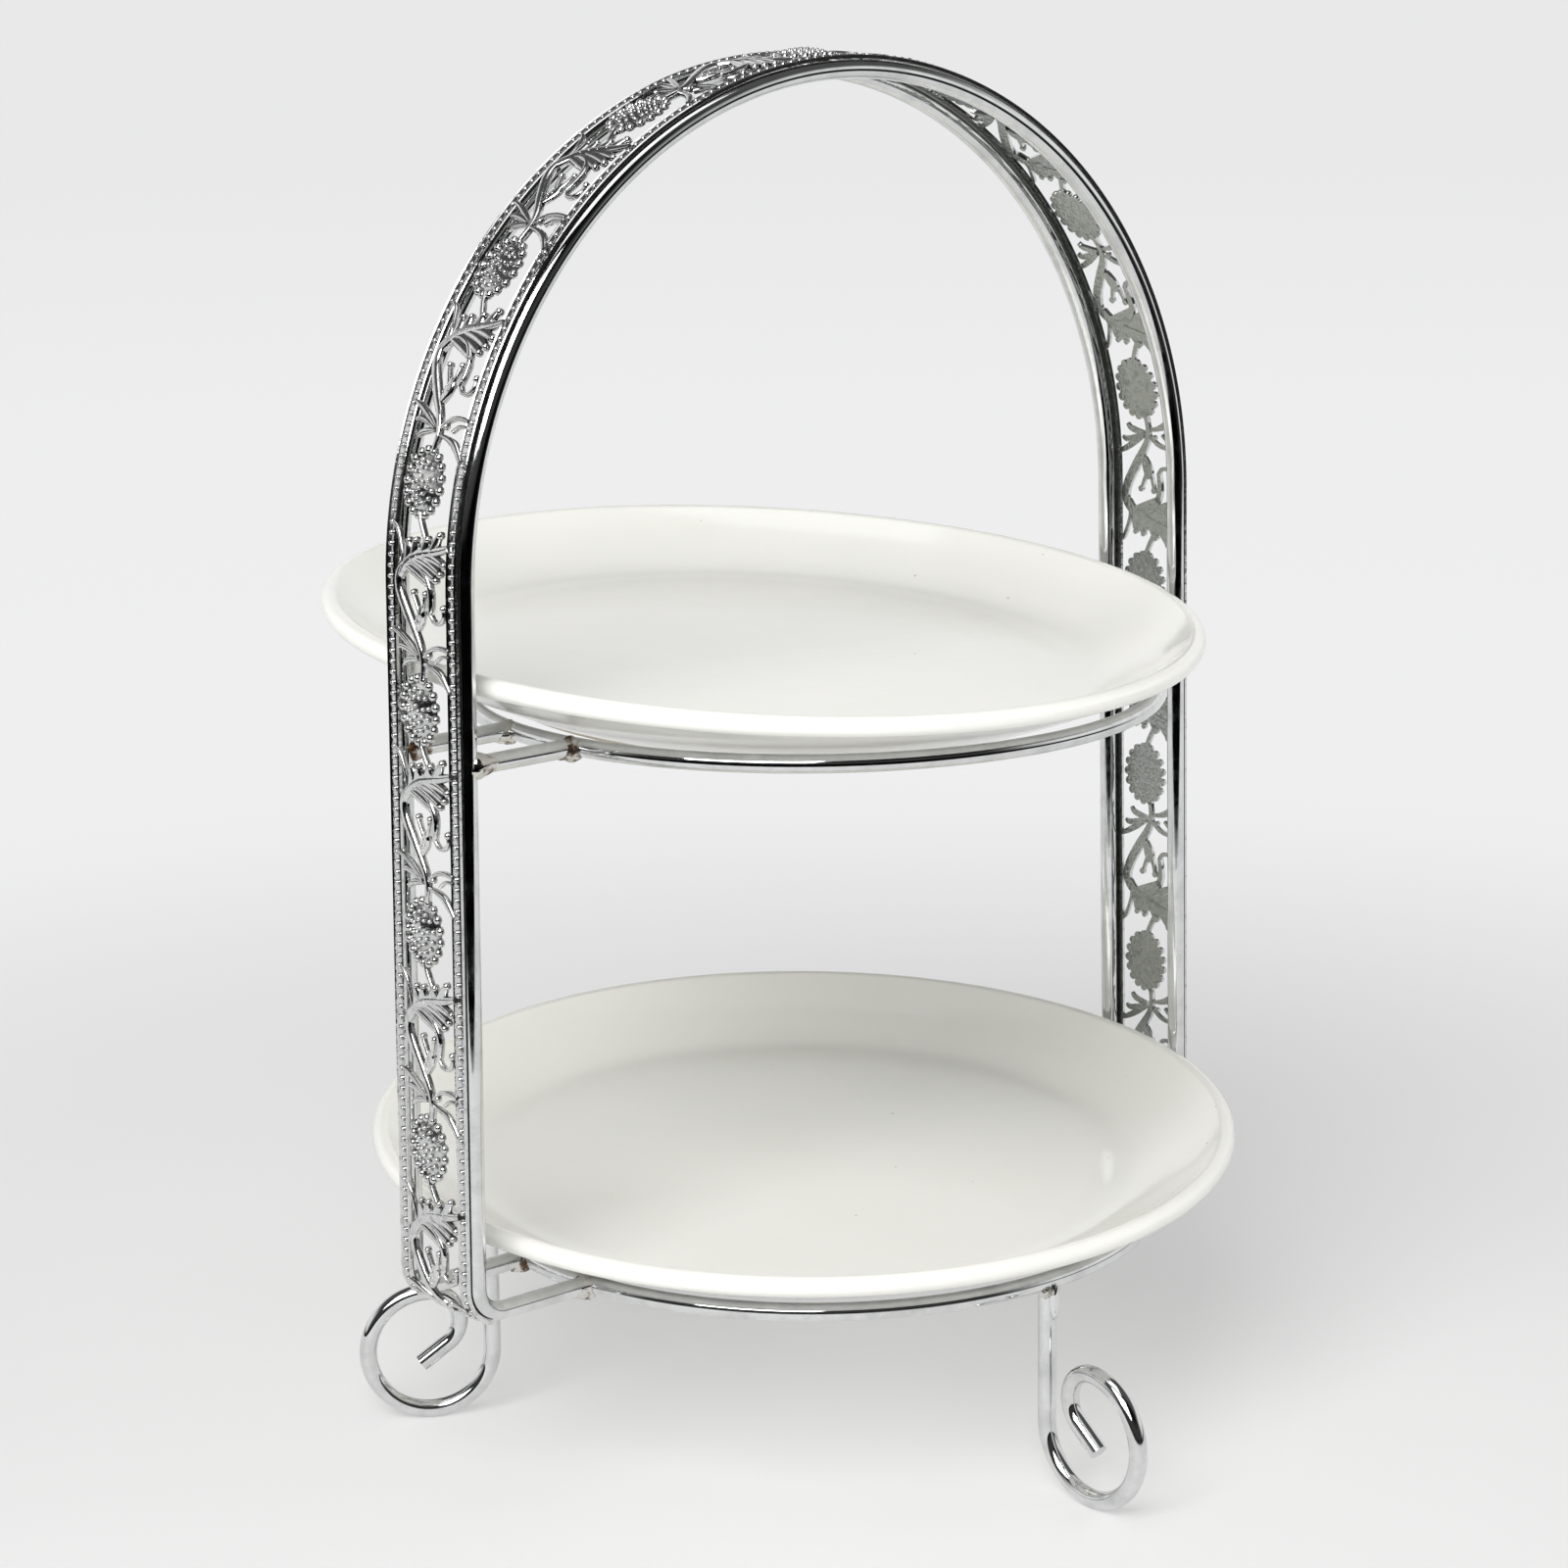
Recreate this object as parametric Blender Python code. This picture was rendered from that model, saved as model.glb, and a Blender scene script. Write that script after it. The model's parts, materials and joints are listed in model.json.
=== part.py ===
"""Two-tier cake stand: a wire frame with an arched handle and three scroll feet.

Two dished plates rest on the frame's rings, and a pierced strip covers the arch.
Metres, +Z up. The arch's legs stand at -X and +X, and the front foot points along -Y.
"""
import math

import bmesh
import bpy
from mathutils import Matrix, Vector

GAP = 0.0003                 # left between touching pieces

# Wire: one gauge throughout, swept as an octagon with flats above, below and to the sides.
WIRE_R = 0.0025
SIDES = 8
CORNER_R = WIRE_R / math.cos(math.pi / SIDES)

# Arch: two parallel wires, each a half circle on slightly splayed legs.
ARCH_R = 0.1284
ARCH_Z = 0.24925
WIRE_Y = 0.01426             # each wire's distance from the arch's middle plane
LEG_FOOT_X = 0.1314          # half-width at the lower ring
BEND_R = 0.0078
ARCH_STEPS = 44

# Rings that carry the plates, and the height of each.
RING_R = 0.0954
UPPER_RING_Z = 0.20757
LOWER_RING_Z = 0.05933
RING_STEPS = 48

# Feet: a stem, a half-round loop on the floor, and a scroll that curls back inside it.
FOOT_ANGLES = {"foot_front": -91.0, "foot_left": 149.0, "foot_right": 29.0}
LOOP_R = 0.01766
LOOP_STEPS = 11
SCROLL_R = 0.01754
CURL_R = 0.00867
CURL_TURN = 143.3
TAIL = 0.00956

# Strip: a grid of solid and open cells, bent over both wires.
STRIP_IN = 0.0029            # its inner face, measured outward from the wires' centre line
STRIP_THICK = 0.0009
STRIP_ROWS = (-0.0153, -0.0121, -0.008, -0.003, 0.003, 0.008, 0.0121, 0.0153)
REPEAT = 0.05895             # from one flower to the next
FIRST_FLOWER = 0.0432
FLOWER_COUNT = 13
FLOWER_RISE = 0.0023
STRIP_END = -0.006           # how far past the level of the lower ring it follows the bend
BEND_COLUMNS = 8             # narrower columns, so it stays clear of the wires round the bend
# One repeat, from flower to flower: each row of letters runs along the strip, front edge first.
PATTERN = (
    "XXXXXXXXXX",
    "..X....X..",
    "XXX...XX.X",
    "XXXXX.XXXX",
    "XXX.XXX.XX",
    "..X..X..X.",
    "XXXXXXXXXX",
)

# Plates: heights in the plate's own frame, whose zero is the middle of the rim bead.
PLATE_STEPS = 48
BEAD_R = 0.00275
BEAD_CENTRE = 0.1211
FLOOR_R = 0.093
FLOOR_Z = -0.0126
UNDER_R = 0.2425             # the underside is part of a sphere of this radius
UNDER_CENTRE = 0.208         # whose centre is this far above the rim
FOOT_RING = (0.0735, 0.0795)
FOOT_RING_Z = -0.0216
BASE_Z = -0.0170
# Each plate's centre and the slopes of its rim: both sit a little back, with the front low.
UPPER_PLATE = {"x": -0.0019, "y": 0.0190, "slope_x": -0.012, "slope_y": 0.085}
LOWER_PLATE = {"x": 0.0040, "y": 0.0115, "slope_x": 0.024, "slope_y": 0.053}

CHROME = ("chrome_plate", (0.78, 0.78, 0.79), 0.08, 1.0)
PIERCED_CHROME = ("pierced_chrome_strip", (0.72, 0.72, 0.73), 0.2, 1.0)
GLAZE = ("white_glaze", (0.80, 0.80, 0.77), 0.12, 0.0)


def clear_scene():
    for item in list(bpy.data.objects):
        bpy.data.objects.remove(item, do_unlink=True)


def material(name, colour, roughness, metallic):
    found = bpy.data.materials.get(name)
    if found:
        return found
    made = bpy.data.materials.new(name)
    made.use_nodes = True
    shader = made.node_tree.nodes["Principled BSDF"]
    shader.inputs["Base Color"].default_value = (*colour, 1.0)
    shader.inputs["Roughness"].default_value = roughness
    shader.inputs["Metallic"].default_value = metallic
    made.diffuse_color = (*colour, 1.0)
    return made


def add_object(name, bm, finish, parent):
    """Turn a bmesh into a smooth-shaded object under the given parent."""
    bmesh.ops.recalc_face_normals(bm, faces=bm.faces)
    mesh = bpy.data.meshes.new(name)
    bm.to_mesh(mesh)
    bm.free()
    mesh.shade_smooth()
    mesh.set_sharp_from_angle(angle=math.radians(50))
    mesh.materials.append(material(*finish))
    item = bpy.data.objects.new(name, mesh)
    bpy.context.scene.collection.objects.link(item)
    item.parent = parent
    return item


def arc(centre, radius, start, turn, steps):
    """Points of a flat arc, angles in degrees, both ends included."""
    points = []
    for i in range(steps + 1):
        angle = math.radians(start + turn * i / steps)
        points.append((centre[0] + radius * math.cos(angle), centre[1] + radius * math.sin(angle)))
    return points


def sweep_wire(name, path, normal, parent, closed=False):
    """Sweep the octagon along a flat path; two of its flats face along the path's normal."""
    bm = bmesh.new()
    count = len(path)
    sections = []
    for i, point in enumerate(path):
        forward = path[(i + 1) % count] - point
        back = point - path[i - 1]
        if not closed and i == 0:
            back = forward
        if not closed and i == count - 1:
            forward = back
        side = (forward.normalized() + back.normalized()).cross(normal).normalized()
        mitre = 1 / side.dot(forward.normalized().cross(normal))
        section = []
        for k in range(SIDES):
            angle = (k + 0.5) * 2 * math.pi / SIDES
            across = side * (mitre * CORNER_R * math.cos(angle))
            section.append(bm.verts.new(point + across + normal * (CORNER_R * math.sin(angle))))
        sections.append(section)
    for i in range(count if closed else count - 1):
        near, far = sections[i], sections[(i + 1) % count]
        for k in range(SIDES):
            after = (k + 1) % SIDES
            bm.faces.new((near[k], near[after], far[after], far[k]))
    if not closed:
        bm.faces.new(sections[0])
        bm.faces.new(sections[-1])
    return add_object(name, bm, CHROME, parent)


def ring_joint_x(y):
    """How far from the middle a wire along X ends, where it butts on the outside of a ring."""
    return math.sqrt((RING_R + CORNER_R) ** 2 - (abs(y) - WIRE_R) ** 2) + GAP


def leg_x(z):
    """Half-width of the arch's legs at a height below the half circle."""
    return ARCH_R + (LEG_FOOT_X - ARCH_R) * (ARCH_Z - z) / (ARCH_Z - LOWER_RING_Z)


def add_arch_wire(name, y, parent):
    """One continuous wire: in from the lower ring, up a leg, over the top and down again."""
    bend_x = LEG_FOOT_X - BEND_R
    half = [(ring_joint_x(y), LOWER_RING_Z)]
    half += arc((bend_x, LOWER_RING_Z + BEND_R), BEND_R, -90, 90, 6)
    over = arc((0, ARCH_Z), ARCH_R, 0, 180, ARCH_STEPS)
    other = [(-x, z) for x, z in reversed(half)]
    path = [Vector((x, y, z)) for x, z in half + over + other]
    return sweep_wire(name, path, Vector((0, 1, 0)), parent)


def add_ring(name, z, parent):
    step = 2 * math.pi / RING_STEPS
    path = [Vector((RING_R * math.cos(i * step), RING_R * math.sin(i * step), z))
            for i in range(RING_STEPS)]
    return sweep_wire(name, path, Vector((0, 0, 1)), parent, closed=True)


def add_strut(name, side, y, parent):
    """A short wire from a leg's inner face to the outside of the upper ring."""
    leg_end = leg_x(UPPER_RING_Z) - CORNER_R - GAP
    path = [Vector((side * x, y, UPPER_RING_Z)) for x in (leg_end, ring_joint_x(y))]
    return sweep_wire(name, path, Vector((0, 1, 0)), parent)


def add_foot(name, degrees, parent):
    """One bent wire under the lower ring, flat on the floor at the bottom of its loop."""
    loop_z = LOOP_R * math.cos(math.pi / 2 / LOOP_STEPS) + WIRE_R
    loop_u = RING_R + LOOP_R
    scroll_u = RING_R + 2 * LOOP_R - SCROLL_R
    curl = (scroll_u, loop_z + SCROLL_R - CURL_R)
    outline = [(RING_R, LOWER_RING_Z - WIRE_R - GAP)]
    outline += arc((loop_u, loop_z), LOOP_R, 180, 180, LOOP_STEPS)
    outline += arc((scroll_u, loop_z), SCROLL_R, 0, 90, 6)[1:]
    outline += arc(curl, CURL_R, 90, CURL_TURN, 8)[1:]
    heading = math.radians(90 + CURL_TURN + 90)
    last = outline[-1]
    outline.append((last[0] + TAIL * math.cos(heading), last[1] + TAIL * math.sin(heading)))
    turn = math.radians(degrees)
    outward = Vector((math.cos(turn), math.sin(turn), 0))
    normal = Vector((-math.sin(turn), math.cos(turn), 0))
    path = [outward * u + Vector((0, 0, z)) for u, z in outline]
    return sweep_wire(name, path, normal, parent)


def strip_place(length, height):
    """Where a length along the strip and a height over the wires' centre line fall in X and Z.

    The strip follows the wires over the arch, down both legs and round the bend at their feet.
    """
    middle = STRIP_IN + STRIP_THICK / 2
    leg = math.hypot(LEG_FOOT_X - ARCH_R, ARCH_Z - LOWER_RING_Z)
    over = math.pi * (ARCH_R + middle)
    side = -1
    if length > leg + over / 2:
        length = 2 * leg + over - length
        side = 1
    if length > leg:
        angle = (length - leg) / (ARCH_R + middle)
        reach = ARCH_R + height
        return side * reach * math.cos(angle), ARCH_Z + reach * math.sin(angle)
    lean = (LEG_FOOT_X - ARCH_R) / leg
    upright = (ARCH_Z - LOWER_RING_Z) / leg
    if length > BEND_R:
        x = LEG_FOOT_X - lean * length + upright * height
        return side * x, LOWER_RING_Z + upright * length + lean * height
    angle = (BEND_R - length) / (BEND_R + middle)
    reach = BEND_R + height
    x = LEG_FOOT_X - lean * BEND_R - upright * BEND_R + reach * math.cos(angle)
    return side * x, LOWER_RING_Z + BEND_R - reach * math.sin(angle)


def strip_lines():
    """Lengths of the lines across the strip: even along it, and closer round the bends."""
    pitch = REPEAT / len(PATTERN[0])
    last = 2 * FIRST_FLOWER + (FLOWER_COUNT - 1) * REPEAT
    lead = int((FIRST_FLOWER - pitch / 2 - BEND_R) / pitch)
    start = FIRST_FLOWER - pitch / 2 - lead * pitch
    even = [start + i * pitch for i in range((FLOWER_COUNT - 1) * len(PATTERN[0]) + 2 * lead + 2)]
    close = [STRIP_END + (start - STRIP_END) * i / BEND_COLUMNS for i in range(BEND_COLUMNS)]
    return close + even + [last - length for length in reversed(close)]


def add_strip(parent):
    """The pierced strip: solid cells get two faces and a wall wherever they meet an open cell."""
    bm = bmesh.new()
    pitch = REPEAT / len(PATTERN[0])
    lines = strip_lines()
    columns = len(lines) - 1
    rows = len(PATTERN)
    letters = []
    for near, far in zip(lines, lines[1:]):
        from_flower = (near + far) / 2 - FIRST_FLOWER
        letters.append(math.floor(from_flower / pitch + 0.5) % len(PATTERN[0]))

    def solid(column, row):
        if not (0 <= column < columns and 0 <= row < rows):
            return False
        end = column in (0, columns - 1)
        return end or PATTERN[row][letters[column]] == "X"

    corners = {}

    def corner(column, row, outer):
        key = (column, row, outer)
        if key not in corners:
            from_flower = (lines[column] - FIRST_FLOWER + REPEAT / 2) % REPEAT - REPEAT / 2
            on_flower = abs(from_flower) < pitch and row in (3, 4)
            rise = FLOWER_RISE if outer and on_flower else 0.0
            height = STRIP_IN + (STRIP_THICK + rise if outer else 0.0)
            x, z = strip_place(lines[column], height)
            corners[key] = bm.verts.new((x, STRIP_ROWS[row], z))
        return corners[key]

    def wall(first, second):
        bm.faces.new((corner(*first, False), corner(*second, False),
                      corner(*second, True), corner(*first, True)))

    for column in range(columns):
        for row in range(rows):
            if not solid(column, row):
                continue
            loop = ((column, row), (column + 1, row), (column + 1, row + 1), (column, row + 1))
            for outer in (False, True):
                bm.faces.new([corner(*spot, outer) for spot in loop])
            neighbours = ((column, row - 1), (column + 1, row), (column, row + 1), (column - 1, row))
            for k, neighbour in enumerate(neighbours):
                if not solid(*neighbour):
                    wall(loop[k], loop[(k + 1) % 4])
    return add_object("filigree_strip", bm, PIERCED_CHROME, parent)


def underside(radius):
    """Height of a plate's spherical underside at a radius."""
    return UNDER_CENTRE - math.sqrt(UNDER_R ** 2 - radius ** 2)


def plate_outline():
    """Half section of a plate, from the middle of its floor over the rim to the middle below."""
    outline = [(0.0, FLOOR_Z), (0.060, FLOOR_Z), (FLOOR_R, FLOOR_Z + 0.0002),
               (0.0985, -0.0108), (0.109, -0.0054), (0.1168, 0.0002)]
    outline += arc((BEAD_CENTRE, 0.0), BEAD_R, 125, -200, 5)
    outline += [(radius, underside(radius)) for radius in (0.1195, 0.112, 0.104, 0.096, 0.088)]
    inner, outer = FOOT_RING
    outline += [(outer + 0.001, underside(outer + 0.001)), (outer, FOOT_RING_Z)]
    outline += [(inner + 0.001, FOOT_RING_Z), (inner - 0.001, BASE_Z), (0.0, BASE_Z)]
    return outline


def lowest_under(radius):
    """Height of the underside at a radius, foot ring included, for finding where a plate rests."""
    inner, outer = FOOT_RING
    if radius > outer + 0.001:
        return underside(radius)
    return FOOT_RING_Z if radius > inner else BASE_Z


def resting_height(plate, ring_z):
    """Height of the rim's centre at which the tilted plate just clears the round of its ring."""
    need = []
    for degree in range(0, 360, 2):
        turn = math.radians(degree)
        for across in (-0.9, -0.6, -0.3, 0.0, 0.3, 0.6, 0.9):
            reach = RING_R + across * CORNER_R
            wire_top = ring_z + CORNER_R * math.sqrt(1 - across ** 2) + GAP
            x = reach * math.cos(turn) - plate["x"]
            y = reach * math.sin(turn) - plate["y"]
            tilt = plate["slope_x"] * x + plate["slope_y"] * y
            need.append(wire_top - tilt - lowest_under(math.hypot(x, y)))
    return max(need)


def add_plate(name, plate, ring_z, parent):
    """A turned plate, tilted to its slopes and set down on its ring."""
    bm = bmesh.new()
    outline = plate_outline()
    turned = []
    for i in range(PLATE_STEPS):
        turn = 2 * math.pi * i / PLATE_STEPS
        turned.append([bm.verts.new((r * math.cos(turn), r * math.sin(turn), z))
                       for r, z in outline[1:-1]])
    top = bm.verts.new((0, 0, outline[0][1]))
    bottom = bm.verts.new((0, 0, outline[-1][1]))
    for i, near in enumerate(turned):
        far = turned[(i + 1) % PLATE_STEPS]
        bm.faces.new((top, near[0], far[0]))
        bm.faces.new((bottom, far[-1], near[-1]))
        for k in range(len(near) - 1):
            bm.faces.new((near[k], near[k + 1], far[k + 1], far[k]))
    item = add_object(name, bm, GLAZE, parent)
    up = Vector((-plate["slope_x"], -plate["slope_y"], 1)).normalized()
    item.rotation_mode = "QUATERNION"
    item.rotation_quaternion = Vector((0, 0, 1)).rotation_difference(up)
    item.location = (plate["x"], plate["y"], resting_height(plate, ring_z))
    return item


def centre_on_y(parent, pieces):
    """Shift the whole stand along Y, so the middle of its box stands over the origin."""
    bpy.context.view_layer.update()
    depths = [(piece.matrix_world @ vertex.co).y
              for piece in pieces for vertex in piece.data.vertices]
    parent.matrix_world = Matrix.Translation((0, -(min(depths) + max(depths)) / 2, 0))
    bpy.context.view_layer.update()


def build():
    clear_scene()
    stand = bpy.data.objects.new("cake_stand_frame", None)
    bpy.context.scene.collection.objects.link(stand)
    pieces = [
        add_arch_wire("arch_wire_front", -WIRE_Y, stand),
        add_arch_wire("arch_wire_rear", WIRE_Y, stand),
        add_strip(stand),
        add_ring("upper_ring", UPPER_RING_Z, stand),
        add_ring("lower_ring", LOWER_RING_Z, stand),
        add_plate("upper_plate", UPPER_PLATE, UPPER_RING_Z, stand),
        add_plate("lower_plate", LOWER_PLATE, LOWER_RING_Z, stand),
    ]
    for side, side_name in ((-1, "left"), (1, "right")):
        for y, place in ((-WIRE_Y, "front"), (WIRE_Y, "rear")):
            pieces.append(add_strut(f"strut_{place}_{side_name}", side, y, stand))
    for name, degrees in FOOT_ANGLES.items():
        pieces.append(add_foot(name, degrees, stand))
    centre_on_y(stand, pieces)


build()
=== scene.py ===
import json
import math

import bmesh
import bpy
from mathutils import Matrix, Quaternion, Vector, noise


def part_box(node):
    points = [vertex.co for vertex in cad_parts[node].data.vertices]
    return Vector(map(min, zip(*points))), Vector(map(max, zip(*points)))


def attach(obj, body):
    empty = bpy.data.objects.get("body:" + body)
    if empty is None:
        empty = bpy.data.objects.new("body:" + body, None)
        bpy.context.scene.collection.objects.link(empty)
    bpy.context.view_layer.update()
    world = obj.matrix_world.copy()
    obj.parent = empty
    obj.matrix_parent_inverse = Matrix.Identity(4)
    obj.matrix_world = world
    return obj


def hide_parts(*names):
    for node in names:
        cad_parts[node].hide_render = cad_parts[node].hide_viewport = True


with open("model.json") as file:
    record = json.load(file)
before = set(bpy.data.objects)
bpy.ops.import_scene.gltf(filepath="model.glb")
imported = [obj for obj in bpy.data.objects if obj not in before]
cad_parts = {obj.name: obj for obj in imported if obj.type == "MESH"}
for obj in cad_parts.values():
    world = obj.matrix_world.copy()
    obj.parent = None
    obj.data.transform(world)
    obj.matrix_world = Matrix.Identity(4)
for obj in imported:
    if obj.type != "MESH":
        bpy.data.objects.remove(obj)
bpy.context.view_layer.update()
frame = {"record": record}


# ---------------------------------------------------------------------------------------------
# Arch wires: two lengths of drawn steel wire, each bent in one piece: in from the lower ring,
# up a leg, over the top and down again. They are welded to the rings and plated with chrome.
# ---------------------------------------------------------------------------------------------
def linear(code):
    """An sRGB hex colour as linear RGBA."""
    parts = [int(code[i:i + 2], 16) / 255 for i in (1, 3, 5)]
    return tuple(p / 12.92 if p <= 0.04045 else ((p + 0.055) / 1.055) ** 2.4 for p in parts) + (1.0,)


def new_material(name):
    made = bpy.data.materials.new(name)
    made.use_nodes = True
    made.node_tree.nodes.clear()
    return made


def add_node(owner, kind, settings=None, inputs=None):
    """Add a node; each input is given a value, or another node's output to link to."""
    made = owner.node_tree.nodes.new(kind)
    for name, value in (settings or {}).items():
        setattr(made, name, value)
    for name, value in (inputs or {}).items():
        if isinstance(value, bpy.types.NodeSocket):
            owner.node_tree.links.new(value, made.inputs[name])
        else:
            made.inputs[name].default_value = value
    return made


def bright_chrome(name, light, dull, ripple_mm, ripple_depth_mm):
    """Bright chrome over steel: mirror-like, with faint ripples and slightly dull patches."""
    made = new_material(name)
    place = add_node(made, "ShaderNodeTexCoord").outputs["Object"]
    ripple = add_node(made, "ShaderNodeTexNoise", inputs={
        "Vector": place, "Scale": 1000 / ripple_mm, "Detail": 2.0, "Roughness": 0.5})
    # Plating haze: patches of about 9 mm, a little darker and less sharp than the rest.
    haze = add_node(made, "ShaderNodeTexNoise", inputs={
        "Vector": place, "Scale": 1000 / 9.0, "Detail": 5.0, "Roughness": 0.65})
    amount = add_node(made, "ShaderNodeMapRange", inputs={
        "Value": haze.outputs["Fac"], "From Min": 0.42, "From Max": 0.72})
    colour = add_node(made, "ShaderNodeMix", {"data_type": "RGBA"}, {
        0: amount.outputs["Result"], 6: linear(light), 7: linear(dull)})
    rough = add_node(made, "ShaderNodeMapRange", inputs={
        "Value": amount.outputs["Result"], "To Min": 0.05, "To Max": 0.16})
    bump = add_node(made, "ShaderNodeBump", inputs={
        "Height": ripple.outputs["Fac"], "Strength": 0.6, "Distance": ripple_depth_mm / 1000})
    shader = add_node(made, "ShaderNodeBsdfPrincipled", inputs={
        "Base Color": colour.outputs[2], "Metallic": 1.0,
        "Roughness": rough.outputs["Result"], "Normal": bump.outputs["Normal"]})
    add_node(made, "ShaderNodeOutputMaterial", inputs={"Surface": shader.outputs["BSDF"]})
    return made


# Plated wire: a light grey mirror; the ripples come from the drawn wire under the plating.
wire_chrome = bright_chrome("bright_chrome_on_wire", "#DDDEDE", "#C6C7C7", 9.0, 0.02)


def add_piece(name, bm, material, body):
    """Turn a bmesh into a smooth piece that rides on a body."""
    bmesh.ops.recalc_face_normals(bm, faces=bm.faces)
    mesh = bpy.data.meshes.new(name)
    bm.to_mesh(mesh)
    bm.free()
    mesh.shade_smooth()
    mesh.set_sharp_from_angle(angle=math.radians(48))
    for one in material if isinstance(material, tuple) else (material,):
        mesh.materials.append(one)
    piece = bpy.data.objects.new(name, mesh)
    bpy.context.scene.collection.objects.link(piece)
    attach(piece, body)
    return piece


def arc(centre, radius, start, turn, steps):
    """Points of a flat arc, angles in degrees, both ends included."""
    angles = [math.radians(start + turn * i / steps) for i in range(steps + 1)]
    return [(centre[0] + radius * math.cos(a), centre[1] + radius * math.sin(a)) for a in angles]


def sweep_wire(path, normal, radius, closed=False, sides=20):
    """Sweep a round section along a flat path whose plane has the given normal."""
    bm = bmesh.new()
    count = len(path)
    sections = []
    for i, point in enumerate(path):
        forward = path[(i + 1) % count] - point
        back = point - path[i - 1]
        if not closed and i == 0:
            back = forward
        if not closed and i == count - 1:
            forward = back
        side = (forward.normalized() + back.normalized()).cross(normal).normalized()
        angles = [2 * math.pi * k / sides for k in range(sides)]
        sections.append([bm.verts.new(
            point + side * (radius * math.cos(a)) + normal * (radius * math.sin(a))) for a in angles])
    for i in range(count if closed else count - 1):
        near, far = sections[i], sections[(i + 1) % count]
        for k in range(sides):
            bm.faces.new((near[k], near[k - 1], far[k - 1], far[k]))
    if not closed:
        bm.faces.new(sections[0])
        bm.faces.new(sections[-1])
    return bm


def middle(node):
    """Centre of a CAD node's box."""
    low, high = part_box(node)
    return (Vector(low) + Vector(high)) / 2


def extent(node):
    """Size of a CAD node's box along X, Y and Z."""
    low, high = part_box(node)
    return Vector(high) - Vector(low)


WIRE_R = extent("upper_ring").z / 2
RING_R = extent("upper_ring").x / 2 - WIRE_R
LEG_FOOT_X = extent("arch_wire_front").x / 2 - WIRE_R
ARCH_R = 0.1284
BEND_R = 0.0078              # bend at the foot of each leg, to the wire's middle
MEET = 0.6                   # an end stops this part of a radius from the middle of the wire it meets
upper_z = middle("upper_ring").z
lower_z = middle("lower_ring").z
arch_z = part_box("arch_wire_front")[1][2] - WIRE_R - ARCH_R
ring_y = middle("lower_ring").y


def ring_joint_x(y):
    """How far out a wire along X ends, where it meets the outside of a ring."""
    return math.sqrt(RING_R ** 2 - (y - ring_y) ** 2) + WIRE_R * MEET


def leg_x(z):
    """Half-width of the arch's splayed legs at a height."""
    return ARCH_R + (LEG_FOOT_X - ARCH_R) * (arch_z - z) / (arch_z - lower_z)


for node in ("arch_wire_front", "arch_wire_rear"):
    y = middle(node).y
    bend = (LEG_FOOT_X - BEND_R, lower_z + BEND_R)
    half = [(ring_joint_x(y), lower_z)] + arc(bend, BEND_R, -90, 90, 16)
    over = arc((0, arch_z), ARCH_R, 0, 180, 180)
    outline = half + over + [(-x, z) for x, z in reversed(half)]
    path = [Vector((x, y, z)) for x, z in outline]
    wire = add_piece(f"{node}_plated", sweep_wire(path, Vector((0, 1, 0)), WIRE_R),
                     wire_chrome, "frame")
    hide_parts(node)


# ---------------------------------------------------------------------------------------------
# Rings: the same wire rolled into two level hoops, butt-welded shut and plated with the arch.
# Each holds the dished underside of one loose plate.
# ---------------------------------------------------------------------------------------------
for node in ("upper_ring", "lower_ring"):
    hub = middle(node)
    path = [Vector((x, y, hub.z)) for x, y in arc(hub, RING_R, 0, 360, 240)[:-1]]
    ring = add_piece(f"{node}_plated", sweep_wire(path, Vector((0, 0, 1)), WIRE_R, closed=True),
                     wire_chrome, "frame")
    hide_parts(node)


# ---------------------------------------------------------------------------------------------
# Struts: four short cut lengths of wire that carry the upper ring between the arch's legs. Each is
# welded end on to a leg and to the outside of the ring.
# ---------------------------------------------------------------------------------------------
for node in ("strut_front_left", "strut_rear_left", "strut_front_right", "strut_rear_right"):
    at = middle(node)
    side = math.copysign(1, at.x)
    ends = (leg_x(at.z) - WIRE_R * MEET, ring_joint_x(at.y))
    steps = 8
    path = [Vector((side * (ends[0] + (ends[1] - ends[0]) * i / steps), at.y, at.z))
            for i in range(steps + 1)]
    strut = add_piece(f"{node}_plated", sweep_wire(path, Vector((0, 1, 0)), WIRE_R),
                      wire_chrome, "frame")
    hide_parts(node)


# ---------------------------------------------------------------------------------------------
# Feet: three wires under the lower ring, each bent to a stem, a half-round loop on the table
# and a scroll that curls back inside the loop.
# ---------------------------------------------------------------------------------------------
LOOP_R = 0.01766             # half-round loop that stands on the table
SCROLL_R = 0.01754           # quarter turn that carries on up from it
CURL_R = 0.00867             # last, tighter curl and how far it turns, in degrees
CURL_TURN = 143.3
TAIL = 0.00956               # straight end
foot_angles = {"foot_front": -91.0, "foot_left": 149.0, "foot_right": 29.0}

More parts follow.
